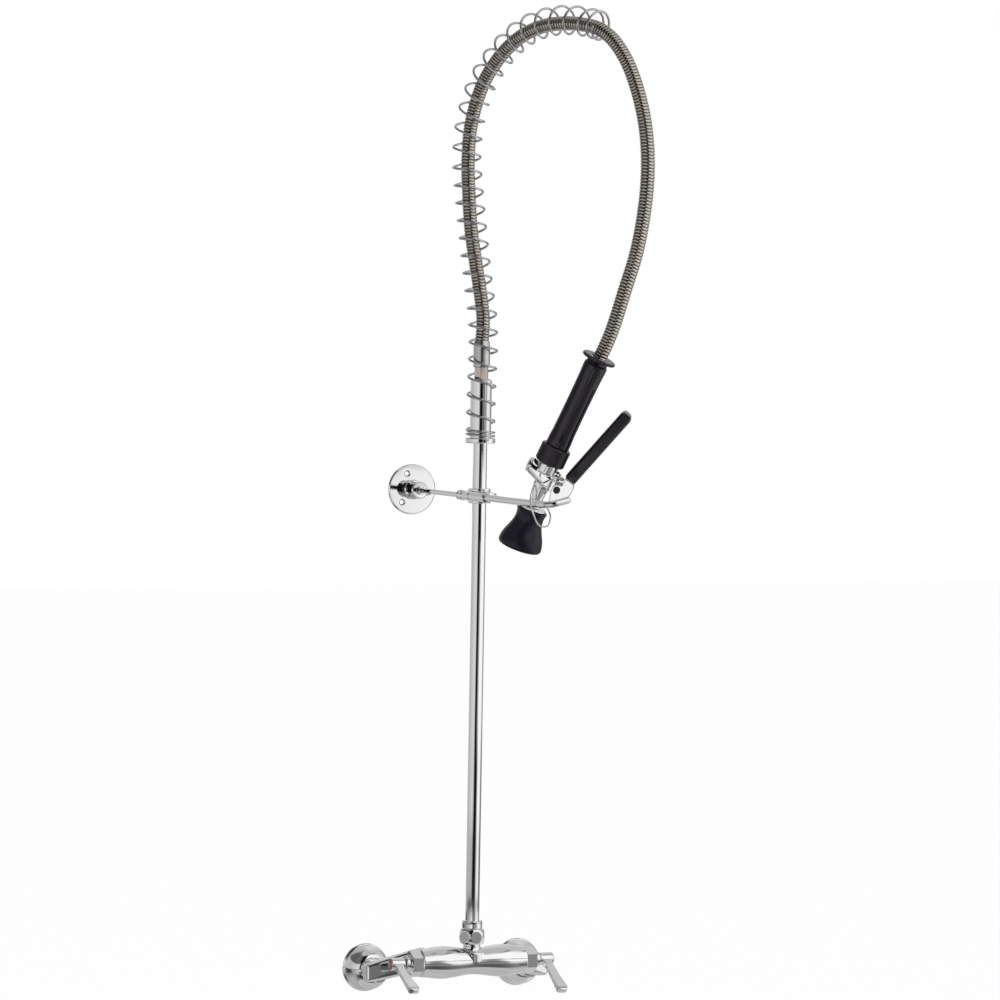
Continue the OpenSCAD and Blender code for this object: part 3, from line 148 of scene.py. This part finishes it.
class Route:
    """Smooth curve through points, read by run length."""

    STEPS = 8

    def __init__(self, points):
        self.points = [Vector(p) for p in points]
        places = [self.at(i / self.STEPS) for i in range(self.STEPS * (len(points) - 1) + 1)]
        self.run = [0.0]
        for a, b in zip(places, places[1:]):
            self.run.append(self.run[-1] + (b - a).length)
        self.length = self.run[-1]

    def at(self, u):
        p, n = self.points, len(self.points) - 1
        i = max(0, min(int(u), n - 1))
        t, b, c = u - i, p[i], p[i + 1]
        a = p[i - 1] if i > 0 else 2 * b - c
        d = p[i + 2] if i < n - 1 else 2 * c - b
        return 0.5 * (2 * b + (c - a) * t + (2 * a - 5 * b + 4 * c - d) * t * t
                      + (3 * b - a - 3 * c + d) * t ** 3)

    def along(self, s):
        s = min(max(s, 0.0), self.length)
        lo, hi = 0, len(self.run) - 1
        while hi - lo > 1:
            mid = (lo + hi) // 2
            lo, hi = (mid, hi) if self.run[mid] <= s else (lo, mid)
        share = (s - self.run[lo]) / (self.run[hi] - self.run[lo])
        return self.at((lo + share) / self.STEPS)

    def axes(self, s, step=0.0005):
        """Heading, side and normal of the route, turning evenly because the loop lies near one upright plane."""
        t = (self.along(s + step) - self.along(s - step)).normalized()
        side = Vector((math.cos(PLAN_TURN), math.sin(PLAN_TURN), 0))
        side = (side - side.dot(t) * t).normalized()
        return t, side, t.cross(side)


def circle(centre, b, n, r, sides):
    return [centre + r * (math.cos(2 * math.pi * k / sides) * b + math.sin(2 * math.pi * k / sides) * n)
            for k in range(sides)]


def new_piece(name, verts, faces, smooth=True):
    mesh = bpy.data.meshes.new(name)
    mesh.from_pydata([tuple(v) for v in verts], [], faces)
    mesh.validate()
    mesh.update()
    if smooth:
        mesh.shade_smooth()
    piece = bpy.data.objects.new(name, mesh)
    bpy.context.scene.collection.objects.link(piece)
    return piece


def loft(rings, closed_ends=True):
    """Verts and faces of a skin over rings of equal size, with flat or open ends."""
    sides = len(rings[0])
    verts = [v for ring in rings for v in ring]
    faces = [(i * sides + k, i * sides + (k + 1) % sides, (i + 1) * sides + (k + 1) % sides, (i + 1) * sides + k)
             for i in range(len(rings) - 1) for k in range(sides)]
    if closed_ends:
        faces += [tuple(reversed(range(sides))), tuple((len(rings) - 1) * sides + k for k in range(sides))]
    return verts, faces


def wire(name, centres, hints, r, sides=12):
    """Round wire through centres; a hint is a direction that the wire never follows there."""
    rings = []
    for i, c in enumerate(centres):
        t = (centres[min(i + 1, len(centres) - 1)] - centres[max(i - 1, 0)]).normalized()
        b = (hints[i] - hints[i].dot(t) * t).normalized()
        rings.append(circle(c, b, t.cross(b), r, sides))
    return new_piece(name, *loft(rings))


# ---- Hose, springs and ring ----

def make_hose(sides=28, bore_steps=60):
    """Ribbed steel cover with its bore: every rib is a rounded crest between two narrow grooves."""
    route = Route(HOSE)
    ribs = round(route.length / RIB_PITCH)
    pitch = route.length / ribs
    crest, root = HOSE_D / 2, HOSE_D / 2 - RIB_DEPTH
    profile = [(0.0, root), (GROOVE, crest - SHOULDER), (0.5, crest), (1 - GROOVE, crest - SHOULDER)]
    outer = [((i + share) * pitch, r) for i in range(ribs) for share, r in profile] + [(route.length, root)]
    rings, depth = [], []
    bore = [(route.length * (1 - k / bore_steps), COVER_BORE / 2) for k in range(bore_steps + 1)]
    for s, r in outer + bore:
        _, b, n = route.axes(s)
        rings.append(circle(route.along(s), b, n, r, sides))
        depth += [1.0 if r > root + 1e-6 else 0.0] * sides
    verts, faces = loft(rings, closed_ends=False)
    last = (len(rings) - 1) * sides
    faces += [(last + k, last + (k + 1) % sides, (k + 1) % sides, k) for k in range(sides)]
    hose = new_piece("ribbed_hose", verts, faces)
    # The crest attribute is 1 on crest rings and 0 on groove rings; the hose material uses it to paint shade into the
    # grooves.
    hose.data.attributes.new("crest", "FLOAT", "POINT").data.foreach_set("value", depth)
    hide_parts("hose_cover", "hose_liner")
    return hose


def coil_run(turn, length):
    """Run along the centreline after a number of turns: close at both ends, widest over the crest."""
    stops = [(0, 0), (CLOSE_TURNS, CLOSE_TURNS * END_PITCH), (MID_TURNS * COIL_TURNS, MID_RUN * length),
             (COIL_TURNS - CLOSE_TURNS, length - LAST_CLOSE), (COIL_TURNS, length)]
    for (u0, s0), (u1, s1) in zip(stops, stops[1:]):
        if turn <= u1:
            return s0 + (s1 - s0) * (turn - u0) / (u1 - u0)
    return length


def make_overhead_spring(steps=40):
    route = Route(SPRING)
    centres, hints = [], []
    for i in range(round(steps * COIL_TURNS) + 1):
        u = i / steps
        s = coil_run(u, route.length)
        _, b, n = route.axes(s)
        out = math.cos(2 * math.pi * u) * b - math.sin(2 * math.pi * u) * n
        centres.append(route.along(s) + (COIL_D - COIL_WIRE) / 2 * out)
        hints.append(out)
    spring = wire("overhead_coil", centres, hints, COIL_WIRE / 2)
    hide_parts("overhead_spring")
    return spring


def make_ring(steps=160):
    route = Route(RING)
    centres = [route.along(route.length * i / steps) for i in range(steps + 1)]
    ring = wire("wire_ring", centres, [RING_NORMAL] * len(centres), RING_WIRE / 2)
    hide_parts("hanging_ring")
    return ring


def make_return_spring(turns=6, steps=32):
    centres, hints = [], []
    for i in range(turns * steps + 1):
        a, share = 2 * math.pi * i / steps, i / (turns * steps)
        out = Vector((0, math.cos(a), math.sin(a)))
        x = RETURN_FROM + (RETURN_TO - RETURN_FROM) * share
        centres.append(HAND @ (Vector((x, 0, RETURN_Z)) + RETURN_R * out))
        hints.append(HAND.to_3x3() @ out)
    spring = wire("valve_return_coil", centres, hints, RETURN_WIRE / 2, 8)
    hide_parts("return_spring")
    return spring


hose = make_hose()
overhead = make_overhead_spring()
ring = make_ring()
return_coil = make_return_spring()

# ---- Materials ----

RELIEF = 0.0002                                              # depth of the finest grain


def tree_of(name):
    material = bpy.data.materials.new(name)
    material.use_nodes = True
    nodes = material.node_tree.nodes
    return material, nodes, material.node_tree.links, nodes["Principled BSDF"]


def ramp(nodes, links, source, low, high):
    """Maps a 0 to 1 source to a range of numbers, or of colours."""
    node = nodes.new("ShaderNodeMapRange" if isinstance(low, float) else "ShaderNodeMix")
    if isinstance(low, float):
        node.inputs["To Min"].default_value, node.inputs["To Max"].default_value = low, high
        links.new(source, node.inputs["Value"])
        return node.outputs["Result"]
    node.data_type = "RGBA"
    node.inputs[6].default_value, node.inputs[7].default_value = (*low, 1), (*high, 1)
    links.new(source, node.inputs[0])
    return node.outputs[2]


def noise(nodes, links, scale, detail=4.0, stretch=(1, 1, 1)):
    place, mapping, texture = (nodes.new(n) for n in (
        "ShaderNodeTexCoord", "ShaderNodeMapping", "ShaderNodeTexNoise"))
    mapping.inputs["Scale"].default_value = stretch
    texture.inputs["Scale"].default_value, texture.inputs["Detail"].default_value = scale, detail
    links.new(place.outputs["Object"], mapping.inputs["Vector"])
    links.new(mapping.outputs["Vector"], texture.inputs["Vector"])
    return texture.outputs["Fac"]


def surface(name, dark, light, rough, metallic=0.0, patch=60, grain=900, bump=0.05, stretch=(1, 1, 1), gloss=0.5):
    """Material whose colour and roughness drift in patches, with a fine grain in its relief."""
    material, nodes, links, shader = tree_of(name)
    patches = noise(nodes, links, patch, 3.0, stretch)
    links.new(ramp(nodes, links, patches, dark, light), shader.inputs["Base Color"])
    links.new(ramp(nodes, links, patches, rough[0], rough[1]), shader.inputs["Roughness"])
    relief = nodes.new("ShaderNodeBump")
    relief.inputs["Strength"].default_value, relief.inputs["Distance"].default_value = bump, RELIEF
    links.new(noise(nodes, links, grain, 2.0, stretch), relief.inputs["Height"])
    links.new(relief.outputs["Normal"], shader.inputs["Normal"])
    shader.inputs["Metallic"].default_value = metallic
    shader.inputs["Specular IOR Level"].default_value = gloss
    return material


def hose_steel():
    """Stainless ribs, with painted shade that darkens them into the grooves between them."""
    material, nodes, links, shader = tree_of("hose_steel")
    crest = nodes.new("ShaderNodeAttribute")
    crest.attribute_name = "crest"
    steep = nodes.new("ShaderNodeMath")
    steep.operation, steep.inputs[1].default_value = "POWER", 2.2
    links.new(crest.outputs["Fac"], steep.inputs[0])
    # Painted shade: the base colour runs from near black at the groove rings to steel on the crest rings.
    links.new(ramp(nodes, links, steep.outputs[0], (0.07, 0.062, 0.054), (0.62, 0.57, 0.515)),
              shader.inputs["Base Color"])
    links.new(ramp(nodes, links, noise(nodes, links, 220), 0.09, 0.15), shader.inputs["Roughness"])
    shader.inputs["Metallic"].default_value = 1.0
    return material


CHROME = surface("chrome", (0.89, 0.895, 0.905), (0.95, 0.953, 0.958), (0.025, 0.055), metallic=1.0, bump=0.012)
WIRE = surface("spring_wire", (0.50, 0.50, 0.52), (0.66, 0.66, 0.68), (0.03, 0.07), metallic=1.0, bump=0.02)
STEEL = surface("turned_steel", (0.60, 0.59, 0.57), (0.72, 0.71, 0.69), (0.18, 0.30), metallic=1.0,
                stretch=(1, 1, 5))
BRASS = surface("brass", (0.62, 0.52, 0.44), (0.80, 0.70, 0.61), (0.07, 0.14), metallic=1.0, bump=0.04)
GRIP = surface("gloss_black", (0.006, 0.004, 0.007), (0.011, 0.008, 0.013), (0.09, 0.15), patch=35, bump=0.03)
COLLAR = surface("satin_black", (0.007, 0.005, 0.008), (0.012, 0.009, 0.013), (0.16, 0.24), patch=40, gloss=0.4)
RUBBER = surface("black_rubber", (0.005, 0.004, 0.009), (0.009, 0.007, 0.014), (0.20, 0.30), patch=45, gloss=0.32)
LINER = surface("hose_rubber", (0.03, 0.03, 0.03), (0.05, 0.05, 0.05), (0.5, 0.6))
PLASTIC = surface("cartridge_plastic", (0.74, 0.72, 0.66), (0.84, 0.82, 0.76), (0.35, 0.45))
RED = surface("red_ring", (0.22, 0.035, 0.03), (0.30, 0.06, 0.05), (0.25, 0.38))
BLUE = surface("blue_ring", (0.04, 0.12, 0.42), (0.06, 0.18, 0.56), (0.25, 0.38))
HOSE_STEEL = hose_steel()

BY_SLOT = {
    "chrome": CHROME, "spring_steel": WIRE, "steel": STEEL, "hose_steel": HOSE_STEEL, "brass": BRASS,
    "black_grip": GRIP, "black_collar": COLLAR, "rubber": RUBBER, "hose_rubber": LINER,
    "cartridge_plastic": PLASTIC, "red": RED, "blue": BLUE,
}


def dress(piece, material):
    piece.data.materials.clear()
    piece.data.materials.append(material)


for part in frame["record"]["subparts"]:
    dress(NODES[part["node"]], BY_SLOT[part["material_slot"]])
for piece, slot in ((hose, "hose_steel"), (overhead, "spring_steel"), (ring, "chrome"), (return_coil, "spring_steel")):
    dress(piece, BY_SLOT[slot])

# ---- Softer edges: forged and moulded pieces are rounded all over, turned pieces only along their edges ----

# Voxel size in metres and rounds of smoothing
FORGED = {"faucet_body": (0.0007, 8), "supply_arms": (0.0006, 8), "valve_body": (0.0005, 24),
          "hot_handle": (0.0004, 8), "cold_handle": (0.0004, 8), "squeeze_lever": (0.0005, 8),
          "lever_cover": (0.0005, 8), "coupling_nut": (0.0004, 8), "clamp_body": (0.0004, 8), "clamp_cap": (0.0004, 8)}
EDGE = 0.00025                                               # width of a turned piece's bevel


def soften(piece, voxel, rounds):
    """Rounds every edge of a solid by about a voxel."""
    cells = piece.modifiers.new("Cells", "REMESH")
    cells.mode, cells.voxel_size, cells.use_smooth_shade = "VOXEL", voxel, True
    smooth = piece.modifiers.new("Smooth", "SMOOTH")
    smooth.factor, smooth.iterations = 0.5, rounds


def round_edges(piece):
    """Small highlights along the sharp edges of a turned or cut piece."""
    weld = piece.modifiers.new("Weld", "WELD")
    weld.merge_threshold = 1e-6
    bevel = piece.modifiers.new("Bevel", "BEVEL")
    bevel.width, bevel.segments, bevel.limit_method = EDGE, 2, "ANGLE"
    bevel.angle_limit = math.radians(35)
    normals = piece.modifiers.new("Normals", "WEIGHTED_NORMAL")
    normals.mode, normals.weight, normals.thresh = "FACE_AREA", 50, 0.01


for name, node in NODES.items():
    node.data.shade_smooth()
    if name in FORGED:
        soften(node, *FORGED[name])
    else:
        round_edges(node)

# ---- What moves with what ----

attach(ring, "ring")
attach(return_coil, "spray_unit")
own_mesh(return_coil)
for piece in (hose, overhead):
    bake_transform(piece)

# ---- Floor, lamps and studio ----

FLOOR_DROP, FLOOR_SIZE = 0.25, 24.0
FLOOR_WHITE, FLOOR_GLOW = 0.80, 0.96


def seen(nodes, links):
    """1 for what the camera sees, directly, in a reflection or through something clear."""
    path = nodes.new("ShaderNodeLightPath")
    total = path.outputs["Is Camera Ray"]
    for ray in ("Is Glossy Ray", "Is Transmission Ray"):
        either = nodes.new("ShaderNodeMath")
        either.operation = "MAXIMUM"
        links.new(total, either.inputs[0])
        links.new(path.outputs[ray], either.inputs[1])
        total = either.outputs[0]
    return total


def make_floor():
    z = cad_lo.z - FLOOR_DROP
    h = FLOOR_SIZE / 2
    floor = new_piece("floor", [(-h, -h, z), (h, -h, z), (h, h, z), (-h, h, z)], [(0, 1, 2, 3)], smooth=False)
    material, nodes, links, shader = tree_of("floor")
    shader.inputs["Base Color"].default_value = (FLOOR_WHITE, FLOOR_WHITE, FLOOR_WHITE, 1)
    shader.inputs["Roughness"].default_value = 0.9
    shader.inputs["Specular IOR Level"].default_value = 0.0
    glow, mix, share = (nodes.new(n) for n in ("ShaderNodeEmission", "ShaderNodeMixShader", "ShaderNodeMath"))
    share.operation, share.inputs[1].default_value = "MULTIPLY", FLOOR_GLOW
    links.new(seen(nodes, links), share.inputs[0])
    links.new(share.outputs[0], mix.inputs[0])
    links.new(shader.outputs[0], mix.inputs[1])
    links.new(glow.outputs[0], mix.inputs[2])
    links.new(mix.outputs[0], nodes["Material Output"].inputs["Surface"])
    glow.inputs["Strength"].default_value = 1.0
    floor.data.materials.append(material)


def facing_object(azimuth, elevation, distance):
    _, _, back = view_axes(azimuth, elevation)
    return (Matrix.Translation(VIEW_TARGET + back * distance)
            @ back.to_track_quat("Z", "Y").to_matrix().to_4x4())


def make_lamp(name, azimuth, elevation, distance, size, power):
    data = bpy.data.lights.new(name, "AREA")
    data.shape, data.size, data.size_y, data.energy = "RECTANGLE", size[0], size[1], power
    lamp = bpy.data.objects.new(name, data)
    lamp.matrix_world = facing_object(azimuth, elevation, distance)
    lamp.visible_glossy = False
    bpy.context.scene.collection.objects.link(lamp)


# What metal reflects: a lining round the object, in rings from the middle of the ceiling down the wall to the middle
# of the floor. Each ring has a radius or a height, and greys from 0 (black) to 255 (white): either one grey, or greys
# by azimuth in degrees from the camera's side. Only reflections see it, and the white studio shines through it.
CEILING = {-180: 190, -155: 160, -120: 110, -40: 100, -15: 50, 12: 50, 30: 200, 50: 172, 62: 158, 70: 144, 82: 130,
           95: 142, 110: 170, 125: 190, 180: 190}
HIGH_WALL = {-180: 205, -160: 176, -136: 162, -124: 95, -105: 85, -60: 105, -30: 95, -20: 40, -10: 15, 10: 15,
             17: 110, 22: 225, 32: 252, 72: 252, 90: 222, 110: 190, 150: 178, 180: 205}
WALL = {-180: 205, -150: 192, -130: 182, -115: 178, -105: 174, -95: 183, -85: 188, -65: 196, -45: 203, -35: 207,
        -25: 203, -17: 190, -12: 140, -8: 55, -5: 8, 10: 8, 16: 60, 22: 105, 30: 150, 38: 195, 46: 236, 54: 253,
        88: 254, 98: 245, 108: 222, 116: 185, 125: 148, 135: 138, 150: 136, 165: 150, 180: 205}
LINED_WALL = {**WALL, 22: 90, 30: 140, 38: 195, 46: 205, 54: 158, 64: 158, 72: 215, 80: 235, 88: 232, 98: 230,
              108: 212, 116: 180}
LOW_WALL = {**WALL, -25: 194, -17: 178, -12: 150, -8: 110, -5: 60, 0: 30, 10: 12, 16: 12, 22: 20, 30: 55, 38: 110,
            46: 185, 54: 240, 60: 252, 98: 222, 108: 180, 116: 148, 125: 121, 135: 108, 150: 108, 165: 122}
FOOT = {-180: 200, -120: 178, -100: 166, -60: 172, -22: 160, -14: 110, -8: 40, 0: 20, 18: 14, 26: 40, 36: 90, 46: 165,
        56: 212, 75: 244, 88: 228, 96: 200, 105: 160, 115: 130, 128: 100, 150: 106, 180: 200}
FLOOR_RIM = {-180: 200, -120: 175, -95: 158, -86: 120, -78: 92, -60: 65, -45: 35, 0: 20, 22: 30, 32: 80, 42: 130,
             55: 160, 72: 194, 90: 165, 120: 109, 150: 104, 180: 200}
FAR_FLOOR = {-180: 195, -155: 165, -132: 158, -122: 65, -105: 60, -92: 140, -75: 142, -60: 160, -30: 195, -14: 215,
             -10: 238, -2: 238, 5: 150, 10: 108, 20: 106, 27: 150, 35: 135, 48: 128, 54: 200, 60: 215, 80: 240,
             95: 235, 110: 190, 130: 140, 150: 130, 165: 165, 180: 195}
MID_FLOOR = {-180: 200, -155: 165, -132: 155, -122: 60, -100: 60, -85: 160, -50: 184, -28: 175, -15: 120, 5: 62,
             20: 98, 30: 116, 45: 134, 60: 168, 80: 208, 105: 205, 130: 150, 150: 200, 180: 200}
NEAR_FLOOR = {-180: 189, -150: 160, -110: 130, -80: 150, -50: 175, -30: 165, -12: 100, 8: 48, 25: 86, 40: 98,
              60: 122, 80: 185, 100: 190, 130: 205, 180: 189}
DARK_FLOOR = {-180: 178, -150: 162, -110: 168, -80: 150, -60: 90, -40: 66, -10: 42, 8: 36, 25: 76, 45: 88, 65: 106,
              90: 150, 120: 200, 150: 195, 180: 178}
INNER_FLOOR = {-180: 178, -150: 155, -100: 160, -70: 133, -30: 125, 0: 105, 20: 88, 45: 105, 65: 140, 90: 176,
               115: 215, 135: 235, 155: 190, 180: 178}
LINING_RADIUS, LINING_TOP, LINING_FLOOR = 3.00, 4.00, -0.27
OVERHEAD = [(0.00, 172), (1.50, 180), (1.72, 174), (2.00, CEILING), (2.40, CEILING), (LINING_RADIUS, HIGH_WALL)]
ROUND_ABOUT = [
    (1.25, HIGH_WALL), (0.95, WALL), (0.78, WALL), (0.75, LINED_WALL), (0.55, LINED_WALL), (0.50, WALL), (0.06, WALL),
    (-0.03, LOW_WALL), (-0.10, LOW_WALL), (-0.17, FOOT), (-0.26, FOOT),
]
UNDERFOOT = [
    (LINING_RADIUS, FLOOR_RIM), (2.88, FLOOR_RIM), (2.82, FAR_FLOOR), (1.60, FAR_FLOOR), (1.15, MID_FLOOR),
    (0.77, NEAR_FLOOR), (0.52, DARK_FLOOR), (0.40, DARK_FLOOR), (0.32, INNER_FLOOR), (0.27, 182), (0.20, 178),
    (0.15, 174), (0.00, 182),
]
LINING = ([(radius, LINING_TOP, greys) for radius, greys in OVERHEAD]
          + [(LINING_RADIUS, height, greys) for height, greys in ROUND_ABOUT]
          + [(radius, LINING_FLOOR, greys) for radius, greys in UNDERFOOT])
LINING_STEP = 2                                              # degrees
METAL = 0.89                                                 # share of the light that the chrome returns


def grey_at(greys, turn):
    if not isinstance(greys, dict):
        return greys
    stops = sorted(greys)
    for lo, hi in zip(stops, stops[1:]):
        if turn <= hi:
            return greys[lo] + (greys[hi] - greys[lo]) * (turn - lo) / (hi - lo)
    return greys[stops[-1]]


def light_of(grey):
    """Light that shows as this grey once chrome has returned it."""
    v = grey / 255
    linear = v / 12.92 if v < 0.04045 else ((v + 0.055) / 1.055) ** 2.4
    return min(1.0, linear / METAL)


def make_lining():
    axis = Vector((0, -0.101, 0))
    turns = range(-180, 180, LINING_STEP)
    rings, light = [], []
    for radius, height, greys in LINING:
        ring = []
        for turn in turns:
            a = math.radians(VIEW_AZIMUTH + turn)
            ring.append(axis + Vector((radius * math.sin(a), -radius * math.cos(a), height)))
            light.append(light_of(grey_at(greys, turn)))
        rings.append(ring)
    lining = new_piece("lining", *loft(rings, closed_ends=False), smooth=False)
    lining.data.attributes.new("light", "FLOAT", "POINT").data.foreach_set("value", light)
    material, nodes, links, _ = tree_of("lining")
    clear, light_map = nodes.new("ShaderNodeBsdfTransparent"), nodes.new("ShaderNodeAttribute")
    light_map.attribute_name = "light"
    links.new(light_map.outputs["Fac"], clear.inputs["Color"])
    links.new(clear.outputs[0], nodes["Material Output"].inputs["Surface"])
    lining.data.materials.append(material)
    lining.visible_camera = lining.visible_diffuse = lining.visible_transmission = lining.visible_shadow = False


ROOM = 0.85


def make_studio():
    """Soft light from all round, and a white background wherever it is seen."""
    world = bpy.data.worlds.new("World")
    bpy.context.scene.world = world
    world.use_nodes = True
    nodes, links = world.node_tree.nodes, world.node_tree.links
    room = nodes["Background"]
    room.inputs["Color"].default_value, room.inputs["Strength"].default_value = (1, 1, 1, 1), ROOM
    white, choose = nodes.new("ShaderNodeBackground"), nodes.new("ShaderNodeMixShader")
    white.inputs["Color"].default_value, white.inputs["Strength"].default_value = (1, 1, 1, 1), 1.0
    links.new(seen(nodes, links), choose.inputs[0])
    links.new(room.outputs[0], choose.inputs[1])
    links.new(white.outputs[0], choose.inputs[2])
    links.new(choose.outputs[0], nodes["World Output"].inputs["Surface"])


make_floor()
make_lining()
make_studio()
make_lamp("key", VIEW_AZIMUTH - 40, 38, 2.4, (1.0, 1.4), 26)
make_lamp("fill", VIEW_AZIMUTH + 52, 18, 2.6, (0.7, 1.6), 14)
bpy.context.scene.view_settings.view_transform = "Standard"
